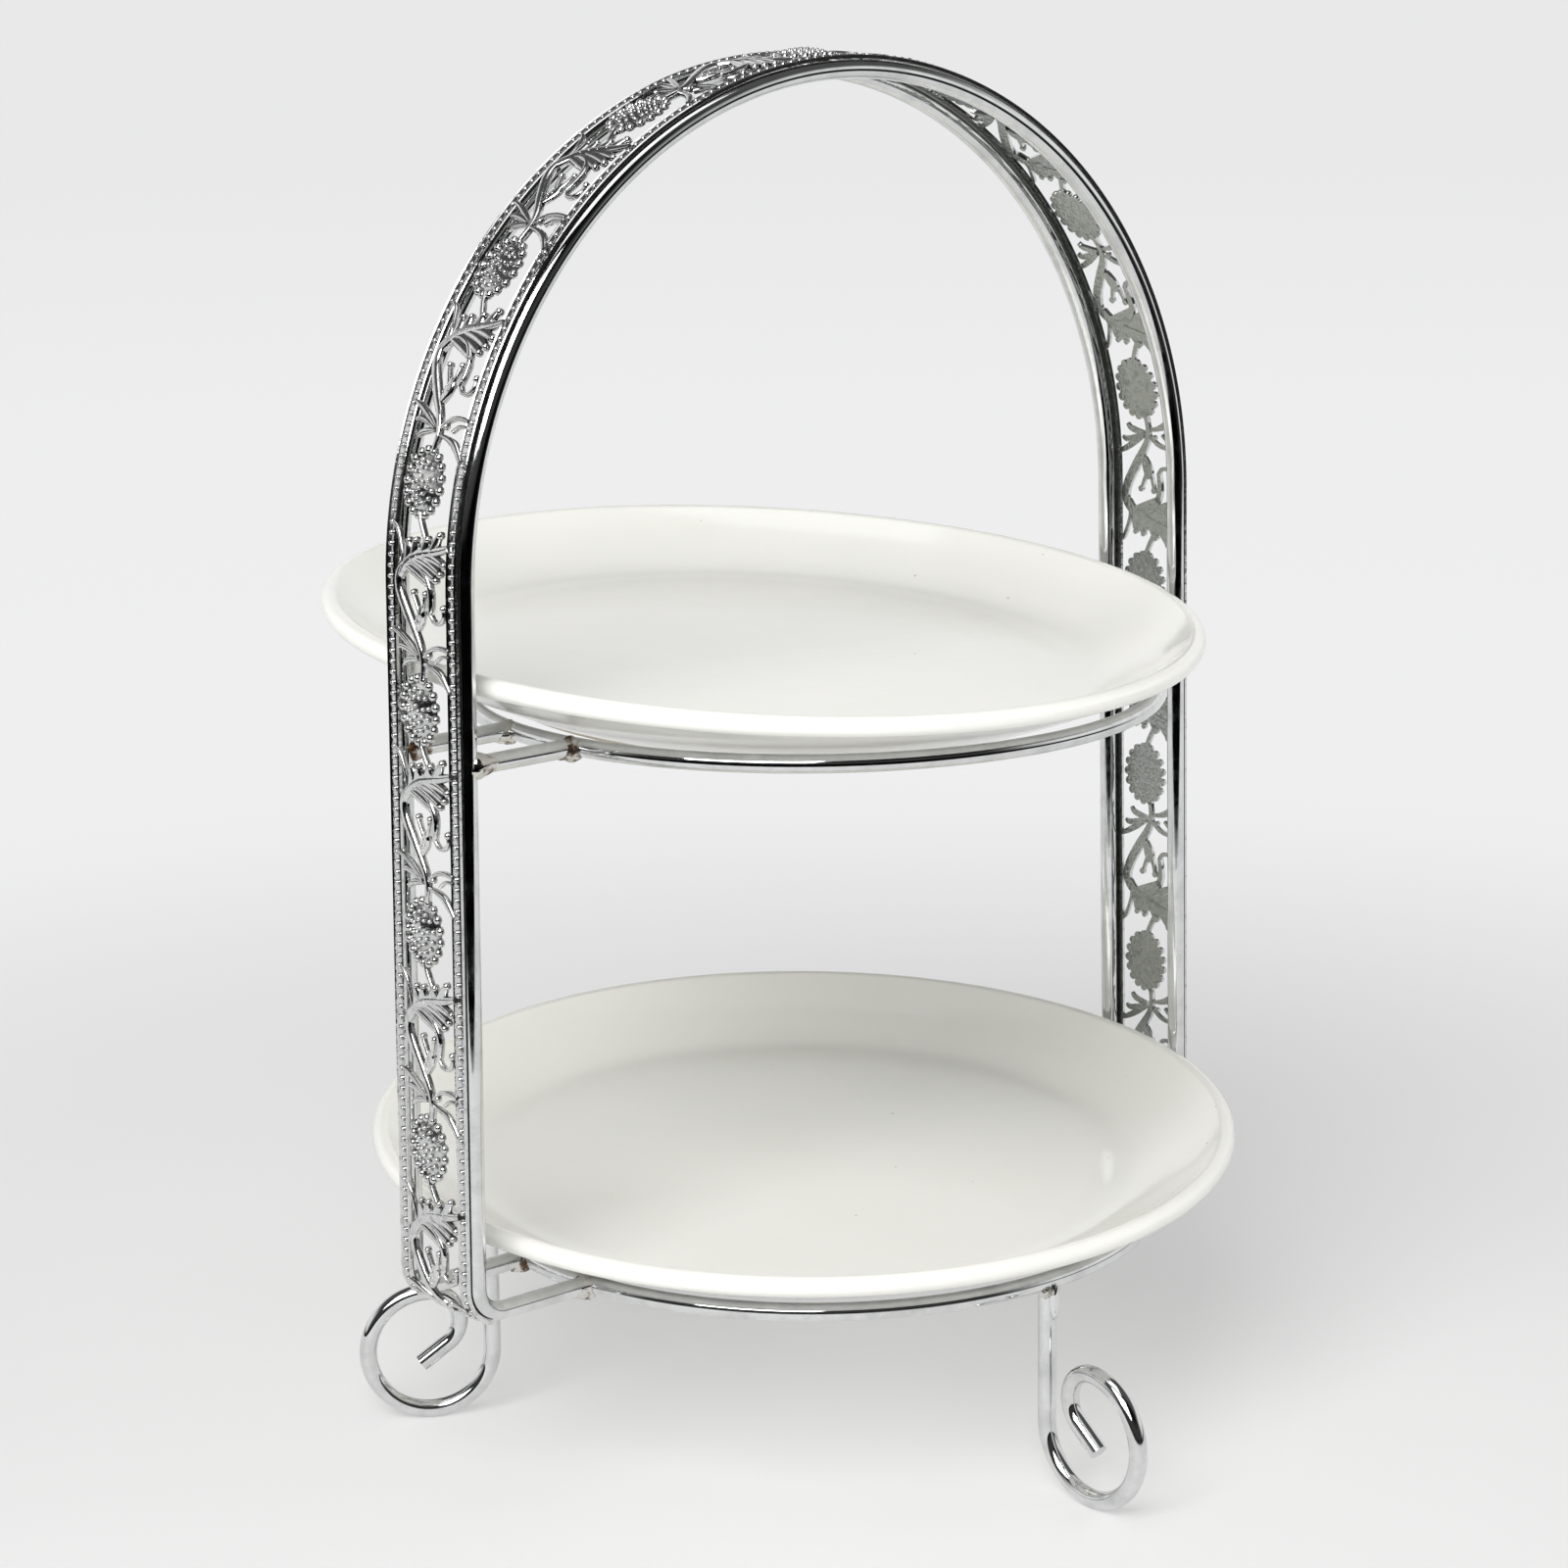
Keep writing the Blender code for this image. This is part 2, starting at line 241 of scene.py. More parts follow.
for node, degrees in foot_angles.items():
    loop_z = LOOP_R + WIRE_R
    scroll_u = RING_R + 2 * LOOP_R - SCROLL_R
    curl = (scroll_u, loop_z + SCROLL_R - CURL_R)
    outline = [(RING_R, lower_z - WIRE_R * 0.8), (RING_R, (lower_z + loop_z) / 2)]
    outline += arc((RING_R + LOOP_R, loop_z), LOOP_R, 180, 180, 48)
    outline += arc((scroll_u, loop_z), SCROLL_R, 0, 90, 24)[1:]
    outline += arc(curl, CURL_R, 90, CURL_TURN, 28)[1:]
    heading = math.radians(180 + CURL_TURN)
    last = outline[-1]
    outline += [(last[0] + TAIL * share * math.cos(heading), last[1] + TAIL * share * math.sin(heading))
                for share in (0.5, 1.0)]
    turn = math.radians(degrees)
    path = [Vector((u * math.cos(turn), ring_y + u * math.sin(turn), z)) for u, z in outline]
    foot = add_piece(f"{node}_plated",
                     sweep_wire(path, Vector((-math.sin(turn), math.cos(turn), 0)), WIRE_R),
                     wire_chrome, "frame")
    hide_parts(node)


# ---------------------------------------------------------------------------------------------
# Welds: small lumpy fillets where wires meet end on, and a run of filler down each foot's stem.
# The chrome covers them, but a fillet keeps rough brown patches where the heat burnt the steel.
# ---------------------------------------------------------------------------------------------
def heat_tinted_weld():
    """Chrome over weld metal: nearly as bright as the wire, with rough brown scorch marks."""
    made = new_material("chrome_over_heat_tinted_weld")
    place = add_node(made, "ShaderNodeTexCoord").outputs["Object"]
    # The scorch comes and goes over about 4 mm.
    scorch = add_node(made, "ShaderNodeTexNoise", inputs={
        "Vector": place, "Scale": 1000 / 4.0, "Detail": 3.0, "Roughness": 0.6})
    amount = add_node(made, "ShaderNodeMapRange", inputs={
        "Value": scorch.outputs["Fac"], "From Min": 0.48, "From Max": 0.60})
    colour = add_node(made, "ShaderNodeMix", {"data_type": "RGBA"}, {
        0: amount.outputs["Result"], 6: linear("#D3D1CC"), 7: linear("#5E4A3A")})
    rough = add_node(made, "ShaderNodeMapRange", inputs={
        "Value": amount.outputs["Result"], "To Min": 0.09, "To Max": 0.42})
    crust = add_node(made, "ShaderNodeTexNoise", inputs={
        "Vector": place, "Scale": 1000 / 0.9, "Detail": 3.0})
    bump = add_node(made, "ShaderNodeBump", inputs={
        "Height": crust.outputs["Fac"], "Strength": 0.6, "Distance": 0.00015})
    shader = add_node(made, "ShaderNodeBsdfPrincipled", inputs={
        "Base Color": colour.outputs[2], "Metallic": 1.0,
        "Roughness": rough.outputs["Result"], "Normal": bump.outputs["Normal"]})
    add_node(made, "ShaderNodeOutputMaterial", inputs={"Surface": shader.outputs["BSDF"]})
    return made


weld_metal = heat_tinted_weld()
LUMPS_PER_METRE = 420
SAG = 0.0004                 # how far a ring's fillets hang below the wire's middle
# Length along the joint and reach from its middle, both in parts of the wire's radius.
FILLET = ((-1.5, 0.96), (-0.9, 1.10), (-0.3, 1.30), (0.2, 1.42), (0.7, 1.34), (1.1, 0.95))
DRIP = ((-3.1, 0.10), (-2.95, 0.34), (-2.5, 0.52), (-1.6, 0.60), (-0.6, 0.62), (0.3, 0.55),
        (0.9, 0.30))


def add_weld(name, at, along, shape, size=1.0, finish=weld_metal):
    """A lumpy run of filler; along points at the piece it is welded to."""
    along = along.normalized()
    side = along.orthogonal().normalized()
    other = along.cross(side)
    bm = bmesh.new()
    sides = 24
    rows = []
    for step, share in shape:
        row = []
        for k in range(sides):
            angle = 2 * math.pi * k / sides
            out = side * math.cos(angle) + other * math.sin(angle)
            lump = noise.noise((at + along * (step * WIRE_R) + out * 0.003) * LUMPS_PER_METRE)
            reach = WIRE_R * share * (1 + 0.16 * lump)
            row.append(bm.verts.new(
                at + along * (step * size * WIRE_R * (1 + 0.2 * lump)) + out * reach))
        rows.append(row)
    for near, far in zip(rows, rows[1:]):
        for k in range(sides):
            bm.faces.new((near[k], near[k - 1], far[k - 1], far[k]))
    bm.faces.new(rows[0])
    bm.faces.new(rows[-1])
    return add_piece(name, bm, finish, "frame")


for place in ("front_left", "rear_left", "front_right", "rear_right"):
    at = middle(f"strut_{place}")
    side = math.copysign(1, at.x)
    joint = side * (ring_joint_x(at.y) + WIRE_R * 0.1)
    inward = Vector((-side, 0, 0))
    add_weld(f"weld_strut_{place}_ring", Vector((joint, at.y, upper_z - SAG)), inward, FILLET, 0.9)
    add_weld(f"weld_strut_{place}_leg",
             Vector((side * (leg_x(upper_z) - WIRE_R * 1.3), at.y, upper_z)), -inward, FILLET, 1.3)
    add_weld(f"weld_arch_{place}_ring", Vector((joint, at.y, lower_z - SAG)), inward, FILLET, 1.0)
for node, degrees in foot_angles.items():
    turn = math.radians(degrees)
    stem = Vector((RING_R * math.cos(turn), ring_y + RING_R * math.sin(turn), lower_z - WIRE_R))
    beside = Vector((math.cos(turn + 0.15), math.sin(turn + 0.15), 0)) * (WIRE_R * 0.9)
    add_weld(f"weld_{node}", stem, Vector((0, 0, 1)), FILLET, 0.5)
    add_weld(f"weld_run_{node}", stem + beside, Vector((0, 0, 1)), DRIP, finish=wire_chrome)


# ---------------------------------------------------------------------------------------------
# Filigree strip: pressed and pierced from sheet, with a beaded band along each edge and a
# running pattern of flowers, vines, buds and leaves. It is bent over both arch wires, soldered
# to them and plated with them. Its front is in relief and its back is nearly flat.
# ---------------------------------------------------------------------------------------------
STRIP_IN = 0.0029            # back of the strip, measured outward from the wires' centre line
SHEET = 0.0009               # thickness of the sheet before it is pressed
REPEAT = 0.05895             # from one flower to the next
FIRST_FLOWER = 0.0432        # along the strip, from the lower ring's level at the left leg
FLOWER_COUNT = 13
STRIP_HALF = extent("filigree_strip").y / 2
strip_y = middle("filigree_strip").y
strip_leg = math.hypot(LEG_FOOT_X - ARCH_R, arch_z - lower_z)
strip_over = math.pi * (ARCH_R + STRIP_IN + SHEET / 2)
strip_length = 2 * strip_leg + strip_over
STRIP_END = -0.006           # it follows the wires' bend this far past the lower ring's level
MM = 0.001


def bend_strip(length, across, height):
    """Bend a point of the flat strip over the arch: along it, across it and above its back.

    At the foot of each leg it follows the wires round their bend.
    """
    side = -1
    if length > strip_leg + strip_over / 2:
        length = strip_length - length
        side = 1
    rise = STRIP_IN + height
    lean = (LEG_FOOT_X - ARCH_R) / strip_leg
    upright = (arch_z - lower_z) / strip_leg
    if length > strip_leg:
        angle = (length - strip_leg) / (ARCH_R + STRIP_IN + SHEET / 2)
        reach = ARCH_R + rise
        x, z = reach * math.cos(angle), arch_z + reach * math.sin(angle)
    elif length > BEND_R:
        x = LEG_FOOT_X - lean * length + upright * rise
        z = lower_z + upright * length + lean * rise
    else:
        angle = (BEND_R - length) / (BEND_R + STRIP_IN + SHEET / 2)
        reach = BEND_R + rise
        x = LEG_FOOT_X - (lean + upright) * BEND_R + reach * math.cos(angle)
        z = lower_z + BEND_R - reach * math.sin(angle)
    return Vector((side * x, strip_y + across, z))


def curve_through(points, per_span):
    """A smooth run of tuples through the given tuples."""
    run = []
    last = len(points) - 1
    for i in range(last):
        a, b, c, d = (points[max(0, min(last, i + k))] for k in (-1, 0, 1, 2))
        for step in range(per_span):
            t = step / per_span
            run.append(tuple(
                q + 0.5 * t * (r - p + t * (2 * p - 5 * q + 4 * r - s + t * (3 * (q - r) + s - p)))
                for p, q, r, s in zip(a, b, c, d)))
    run.append(tuple(points[-1]))
    return run


# Cross-sections of pressed work: across in parts of the half-width, height in parts of the crown.
ROUNDED = ((-1, 0), (-1, 0.45), (-0.86, 0.78), (-0.52, 0.96), (0, 1), (0.52, 0.96), (0.86, 0.78),
           (1, 0.45), (1, 0))
RIMMED = ((-1, 0), (-1, 0.8), (-0.84, 1.0), (-0.66, 0.66), (0.66, 0.66), (0.84, 1.0), (1, 0.8),
          (1, 0))


def press_bar(bm, start, route, crown, section=ROUNDED, per_span=5, back=0.0):
    """A pressed bar on the flat strip; the route lists along, across and half-width in mm.

    What would pass an end of the strip is cut off there.
    """
    run = [spot for spot in curve_through(route, per_span)
           if STRIP_END <= start + spot[0] * MM <= strip_length - STRIP_END]
    if len(run) < 2:
        return
    rows = []
    for i, (along, across, half) in enumerate(run):
        before, after = run[max(0, i - 1)], run[min(len(run) - 1, i + 1)]
        heading = Vector((after[0] - before[0], after[1] - before[1])).normalized()
        rows.append([bm.verts.new(bend_strip(
            start + (along - heading.y * u * half) * MM,
            (across + heading.x * u * half) * MM,
            (back + v * crown) * MM)) for u, v in section])
    count = len(section)
    for near, far in zip(rows, rows[1:]):
        for k in range(count):
            bm.faces.new((near[k - 1], near[k], far[k], far[k - 1]))
    bm.faces.new(rows[0])
    bm.faces.new(rows[-1])


def press_bead(bm, start, along, across, radius, top, base=0.7, sides=10):
    """A round bead in mm: a short upright wall and a dome that ends at the given top."""
    dome = top - base
    rings = ((1.0, 0.0), (1.0, base), (0.80, base + 0.62 * dome), (0.42, base + 0.93 * dome))
    rows = []
    for share, height in rings:
        row = []
        for k in range(sides):
            angle = 2 * math.pi * k / sides
            row.append(bm.verts.new(bend_strip(
                start + (along + radius * share * math.sin(angle)) * MM,
                (across + radius * share * math.cos(angle)) * MM, height * MM)))
        rows.append(row)
    crown = bm.verts.new(bend_strip(start + along * MM, across * MM, top * MM))
    bm.faces.new(rows[0])
    for near, far in zip(rows, rows[1:]):
        for k in range(sides):
            bm.faces.new((near[k - 1], near[k], far[k], far[k - 1]))
    for k in range(sides):
        bm.faces.new((rows[-1][k - 1], rows[-1][k], crown))


BAND_HALF = 2.1              # half-width and crown of the edge bands, in mm
BAND_CROWN = 1.05
BAND_AT = STRIP_HALF / MM - BAND_HALF
BAND_PITCH = 2.8             # spacing, radius, top and wall of their beads, in mm
BAND_BEAD = (0.8, 1.4, 0.6)


def press_bands(bm):
    """Both edge bands, flat with raised rims, and the row of beads along each."""
    low, high = STRIP_END / MM, (strip_length - STRIP_END) / MM
    steps = int((high - low) / 2)
    beads = int((high - low) / BAND_PITCH)
    for side in (-1, 1):
        route = [(low + (high - low) * i / steps, side * BAND_AT, BAND_HALF) for i in range(steps + 1)]
        press_bar(bm, 0, route, BAND_CROWN, RIMMED, per_span=1)
        for i in range(beads):
            along = low + (i + 0.5) * (high - low) / beads
            press_bead(bm, 0, along, side * BAND_AT, *BAND_BEAD, sides=8)
    for end in (low + 1.0, high - 1.0):
        press_bar(bm, 0, [(end, -BAND_AT, 1.0), (end, 0, 1.0), (end, BAND_AT, 1.0)], 0.9, per_span=3)


FLOWER_ALONG = 8.4           # half-length and half-width of a flower's ring of beads, in mm
FLOWER_ACROSS = 7.2
FLOWER_AT = 1.6              # how far to the rear of the strip's middle it sits
FLOWER_TOP = 2.75
FLOWER_STEPS = 34
PETALS = 17
PETAL_R = 1.25
SMALL_BEADS = ((13, 0.68), (9, 0.44), (4, 0.18))     # in each circle, and its share of the radius
SMALL_BEAD_R = 0.75


def flower_height(share):
    """Height of the domed flower at a share of its radius, in mm."""
    return 0.9 + (FLOWER_TOP - 1.3) * (1 - share * share)


def flower_spot(share, angle):
    """Along and across, in mm, of a point of the flower at a share of its radius."""
    return FLOWER_ALONG * share * math.sin(angle), FLOWER_AT + FLOWER_ACROSS * share * math.cos(angle)


def flower_row(bm, start, share, heights):
    """One ring of the flower's disc, with a height in mm for each step round it."""
    row = []
    for k, height in enumerate(heights):
        along, across = flower_spot(share, 2 * math.pi * k / FLOWER_STEPS)
        row.append(bm.verts.new(bend_strip(start + along * MM, across * MM, height * MM)))
    return row


def press_flower(bm, start):
    """A domed flower: a ring of large beads with a loose cluster of small ones inside it."""
    rows = [flower_row(bm, start, 1.0, [0.05] * FLOWER_STEPS)]
    for share in (1.0, 0.75, 0.5, 0.25):
        top = flower_height(share) - 0.5
        groove = 0.35 if share > 0.4 else 0
        rows.append(flower_row(bm, start, share, [top - groove * (k % 2) for k in range(FLOWER_STEPS)]))
    hub = bm.verts.new(bend_strip(start, FLOWER_AT * MM, (flower_height(0) - 0.5) * MM))
    bm.faces.new(rows[0])
    for near, far in zip(rows, rows[1:]):
        for k in range(FLOWER_STEPS):
            bm.faces.new((near[k - 1], near[k], far[k], far[k - 1]))
    for k in range(FLOWER_STEPS):
        bm.faces.new((rows[-1][k - 1], rows[-1][k], hub))
    for k in range(PETALS):
        press_bead(bm, start, *flower_spot(1.0, 2 * math.pi * k / PETALS), PETAL_R,
                   flower_height(1.0) + 0.75)
    # The small beads are set a little unevenly, the same way in every flower.
    for count, share in SMALL_BEADS:
        for k in range(count):
            spot = Vector((k * 1.7, share * 9, 0.5))
            angle = 2 * math.pi * (k + 0.35 * noise.noise(spot)) / count
            reach = share + 0.07 * noise.noise(spot + Vector((0, 0, 7)))
            press_bead(bm, start, *flower_spot(reach, angle), SMALL_BEAD_R,
                       flower_height(reach) + 0.4, sides=8)


# Bars of one repeat, in mm from the flower's centre: along, across (to the rear) and half-width.
VINE = ((8.5, -0.6, 0.7), (13, -1.0, 0.8), (17, 0.3, 1.1), (23, 4.4, 1.45), (29.5, 8.4, 1.45),
        (34, 9.2, 1.3), (37.2, 7.0, 1.1), (38.2, 2.9, 0.75), (36.4, -1.9, 0.75), (32.4, -4.6, 1.0),
        (28.4, -4.9, 0.9), (25.4, -4.4, 0.6))
HOOK = ((26.0, -4.2, 0.6), (24.0, -5.8, 0.65), (23.8, -8.2, 0.6), (25.4, -10.0, 0.55),
        (27.4, -10.2, 0.5))
REAR_LOBES = (((14.6, 1.2, 0.5), (16.8, 5.0, 0.95), (19.0, 9.0, 0.85), (20.2, 12.2, 0.6)),
              ((14.0, 1.4, 0.5), (15.4, 5.0, 0.95), (16.0, 8.4, 0.85), (15.4, 9.8, 0.4)),
              ((13.4, 1.0, 0.5), (13.2, 3.6, 0.9), (12.4, 6.4, 0.8), (11.2, 7.4, 0.4)))
FRONT_TENDRILS = (((14.4, -1.4, 0.5), (16.6, -4.4, 0.65), (17.4, -8.0, 0.7), (17.0, -12.2, 0.6)),
                  ((12.4, -1.6, 0.45), (11.8, -5.0, 0.8), (10.2, -8.6, 1.15), (6.6, -12.2, 0.8)),
                  ((15.4, -12.0, 0.4), (15.2, -8.6, 0.5), (13.6, -6.4, 0.4)))
BUD = ((21.0, 1.4, 0.9), (23.4, 0.4, 1.7), (25.6, -0.4, 1.7), (27.4, -0.7, 0.9))
BUD_ARMS = (((25.4, 0.4, 0.7), (28.0, 1.6, 0.6), (30.2, 2.6, 0.5)),
            ((25.4, -0.8, 0.7), (28.0, -1.8, 0.6), (30.4, -2.3, 0.5)))
LEAF_SPINE = ((34.5, 8.2, 0.9), (38.0, 5.6, 1.5), (40.4, 1.0, 1.7), (41.6, -4.0, 1.5),
              (42.6, -8.6, 1.2), (43.6, -12.2, 0.9))
LEAF_RIBS = (((37.4, 6.0, 0.91), (35.8, 1.6, 1.17), (33.6, -3.6, 1.04)),
             ((38.8, 3.8, 1.04), (37.2, -1.4, 1.3), (35.2, -6.4, 1.1)),
             ((39.8, 1.4, 1.17), (38.8, -3.6, 1.3), (37.0, -8.2, 1.1)),
             ((40.6, -1.8, 1.17), (40.2, -6.0, 1.3), (39.2, -9.6, 1.1)),
             ((39.0, 5.2, 1.43), (41.6, 5.0, 1.56), (43.2, 5.2, 1.17)),
             ((40.2, 2.6, 1.56), (42.2, 2.2, 1.69), (43.6, 2.0, 1.3)),
             ((41.2, -1.4, 1.56), (43.0, -2.4, 1.69), (44.2, -2.8, 1.3)),
             ((42.2, -5.4, 1.56), (44.4, -6.8, 1.3), (46.0, -7.8, 0.91)))
REAR_TENDRIL = ((47.8, 12.6, 0.5), (46.2, 10.4, 0.65), (43.4, 8.8, 0.6), (39.0, 7.4, 0.5),
                (35.4, 8.0, 0.5))
STEM = ((43.8, -2.6, 0.8), (46.4, -1.0, 0.75), (49.0, 0.4, 0.7), (51.2, 1.2, 0.7))
# Small beads at the tips: along, across, radius and top, in mm.
TIP_BEADS = ((27.9, -10.2, 1.1, 1.9), (30.6, 2.8, 1.0, 1.8), (30.8, -2.5, 1.0, 1.8),
             (33.2, -4.2, 1.05, 1.8), (34.8, -7.0, 1.05, 1.8), (36.6, -8.8, 1.05, 1.8),
             (39.0, -10.2, 1.05, 1.8), (43.8, 5.2, 0.9, 1.7), (44.2, 2.0, 0.9, 1.7),
             (44.8, -3.0, 1.1, 1.9), (46.4, -8.2, 1.1, 1.9), (14.8, -3.2, 0.9, 1.7),
             (22.2, 0.4, 0.45, 1.8), (23.4, 1.2, 0.45, 1.9), (23.8, -0.4, 0.45, 1.9),
             (25.2, 0.3, 0.45, 1.9), (39.2, 3.4, 0.45, 1.9), (40.2, 0.8, 0.45, 2.0),
             (40.9, -2.0, 0.45, 1.9), (41.7, -5.0, 0.45, 1.9), (42.7, -8.6, 0.45, 1.8))


def press_spray(bm, start):
    """The vine, bud and leaves that follow a flower."""
    bars = [(VINE, 1.7), (HOOK, 1.3), (BUD, 1.5), (LEAF_SPINE, 1.7), (REAR_TENDRIL, 1.3), (STEM, 1.5)]
    bars += [(bar, 1.35) for bar in REAR_LOBES + FRONT_TENDRILS + BUD_ARMS]
    bars += [(bar, 1.45) for bar in LEAF_RIBS]
    # Each bar's back is a hair higher than the last one's, so no two lie in one plane.
    for depth, (route, crown) in enumerate(bars):
        press_bar(bm, start, route, crown, per_span=4, back=0.012 * depth)
    for along, across, radius, top in TIP_BEADS:
        if 0 < start + along * MM < strip_length:
            press_bead(bm, start, along, across, radius, top, sides=8)


def pierced_chrome(name, light, film_and_shade_tone, rough_low, rough_high, dent_mm, dent_depth_mm):
    """Chrome over pressed work: bright where it stands proud, darkened in the hollows by painted shade,
    with random patches of dark film.
    """
    made = new_material(name)
    place = add_node(made, "ShaderNodeTexCoord").outputs["Object"]
    # Painted shade: ambient occlusion finds the hollows, and they are darkened towards the film and
    # shade tone.
    hollow = add_node(made, "ShaderNodeAmbientOcclusion", {"samples": 6}, {"Distance": 0.0016})
    depth = add_node(made, "ShaderNodeMapRange", inputs={
        "Value": hollow.outputs["AO"], "From Min": 0.35, "From Max": 0.85,
        "To Min": 0.9, "To Max": 0.0})
    film = add_node(made, "ShaderNodeTexNoise", inputs={
        "Vector": place, "Scale": 1000 / 2.2, "Detail": 4.0, "Roughness": 0.6})
    patches = add_node(made, "ShaderNodeMapRange", inputs={
        "Value": film.outputs["Fac"], "From Min": 0.50, "From Max": 0.75, "To Max": 0.5})
    # The darker of two masks: the painted shade in the hollows and the random film patches.
    amount = add_node(made, "ShaderNodeMath", {"operation": "MAXIMUM"}, {
        0: depth.outputs["Result"], 1: patches.outputs["Result"]})
    colour = add_node(made, "ShaderNodeMix", {"data_type": "RGBA"}, {
        0: amount.outputs["Value"], 6: linear(light), 7: linear(film_and_shade_tone)})
    rough = add_node(made, "ShaderNodeMapRange", inputs={
        "Value": amount.outputs["Value"], "To Min": rough_low, "To Max": rough_high})
    # Press marks: soft dents that break up the reflections.
    dents = add_node(made, "ShaderNodeTexNoise", inputs={
        "Vector": place, "Scale": 1000 / dent_mm, "Detail": 2.0})
    bump = add_node(made, "ShaderNodeBump", inputs={
        "Height": dents.outputs["Fac"], "Strength": 0.6, "Distance": dent_depth_mm / 1000})
    shader = add_node(made, "ShaderNodeBsdfPrincipled", inputs={
        "Base Color": colour.outputs[2], "Metallic": 1.0,
        "Roughness": rough.outputs["Result"], "Normal": bump.outputs["Normal"]})
    add_node(made, "ShaderNodeOutputMaterial", inputs={"Surface": shader.outputs["BSDF"]})
    return made


# The face is a bright grey mirror; the back is greyer and pitted, as the press left it. Both have
# painted shade in their hollows.
strip_face = pierced_chrome("bright_chrome_on_pressed_face", "#D8D9D8", "#6A6B6A",
                            rough_low=0.10, rough_high=0.34, dent_mm=1.6, dent_depth_mm=0.10)
strip_back = pierced_chrome("dull_chrome_on_pressed_back", "#A6A9A4", "#6E706B",
                            rough_low=0.26, rough_high=0.45, dent_mm=1.1, dent_depth_mm=0.45)

strip_mesh = bmesh.new()
press_bands(strip_mesh)
for number in range(-1, FLOWER_COUNT):
    start = FIRST_FLOWER + REPEAT * number
    if number >= 0:
        press_flower(strip_mesh, start)
    press_spray(strip_mesh, start)
strip = add_piece("filigree_strip_pressed", strip_mesh, (strip_face, strip_back), "frame")
for face in strip.data.polygons:
    outward = face.center - Vector((0, strip_y, min(face.center.z, arch_z)))
    if face.normal.dot(outward.normalized()) < -0.5:
        face.material_index = 1
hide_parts("filigree_strip")


# ---------------------------------------------------------------------------------------------
# Plates: two equal dished plates of white stoneware, turned, with a rolled rim and a low foot
# ring, glazed all over except the foot ring that they were fired on. They lift off.
# ---------------------------------------------------------------------------------------------
BEAD_R = 0.00275             # rolled rim, and the circle that its middle runs on
RIM_R = 0.1211
UNDER_R = 0.2425             # spherical underside, and how high its centre is above the rim's middle
UNDER_CENTRE = 0.208
FLOOR_DEPTH = 0.0126         # depths below the rim's middle
FOOT_DEPTH = 0.0216
BASE_DEPTH = 0.0170
FOOT_RING = (0.0735, 0.0795)


def white_glaze():
    """Glossy off-white glaze: a soft sheen that wavers, with iron specks."""
    made = new_material("glossy_white_glaze")
    place = add_node(made, "ShaderNodeTexCoord").outputs["Object"]
    cloud = add_node(made, "ShaderNodeTexNoise", inputs={
        "Vector": place, "Scale": 1000 / 45.0, "Detail": 3.0, "Roughness": 0.5})
    tone = add_node(made, "ShaderNodeMix", {"data_type": "RGBA"}, {
        0: cloud.outputs["Fac"], 6: linear("#E4E4DE"), 7: linear("#EBEAE5")})
    # Iron specks: about 0.5 mm across and a few centimetres apart.
    speck = add_node(made, "ShaderNodeTexVoronoi", inputs={"Vector": place, "Scale": 1000 / 16.0})
    near = add_node(made, "ShaderNodeMapRange", inputs={
        "Value": speck.outputs["Distance"], "From Min": 0.015, "From Max": 0.03,
        "To Min": 0.75, "To Max": 0.0})
    colour = add_node(made, "ShaderNodeMix", {"data_type": "RGBA"}, {
        0: near.outputs["Result"], 6: tone.outputs[2], 7: linear("#8C857A")})
    peel = add_node(made, "ShaderNodeTexNoise", inputs={
        "Vector": place, "Scale": 1000 / 12.0, "Detail": 2.0})
    bump = add_node(made, "ShaderNodeBump", inputs={
        "Height": peel.outputs["Fac"], "Strength": 0.35, "Distance": 0.0002})
    rough = add_node(made, "ShaderNodeMapRange", inputs={
        "Value": cloud.outputs["Fac"], "To Min": 0.07, "To Max": 0.15})
    shader = add_node(made, "ShaderNodeBsdfPrincipled", inputs={
        "Base Color": colour.outputs[2], "Roughness": rough.outputs["Result"], "IOR": 1.5,
        "Normal": bump.outputs["Normal"]})
    add_node(made, "ShaderNodeOutputMaterial", inputs={"Surface": shader.outputs["BSDF"]})
    return made


def bare_stoneware():
    """The unglazed foot ring: matt, buff and gritty."""
    made = new_material("bare_fired_stoneware")
    place = add_node(made, "ShaderNodeTexCoord").outputs["Object"]
    grit = add_node(made, "ShaderNodeTexNoise", inputs={
        "Vector": place, "Scale": 1000 / 0.8, "Detail": 4.0})
    colour = add_node(made, "ShaderNodeMix", {"data_type": "RGBA"}, {
        0: grit.outputs["Fac"], 6: linear("#CFC6B6"), 7: linear("#B2A793")})
    bump = add_node(made, "ShaderNodeBump", inputs={
        "Height": grit.outputs["Fac"], "Strength": 0.5, "Distance": 0.0002})
    shader = add_node(made, "ShaderNodeBsdfPrincipled", inputs={
        "Base Color": colour.outputs[2], "Roughness": 0.85, "Normal": bump.outputs["Normal"]})
    add_node(made, "ShaderNodeOutputMaterial", inputs={"Surface": shader.outputs["BSDF"]})
    return made


def underside(radius):
    """Height of the spherical underside at a radius, from the middle of the rim."""
    return UNDER_CENTRE - math.sqrt(UNDER_R ** 2 - radius ** 2)


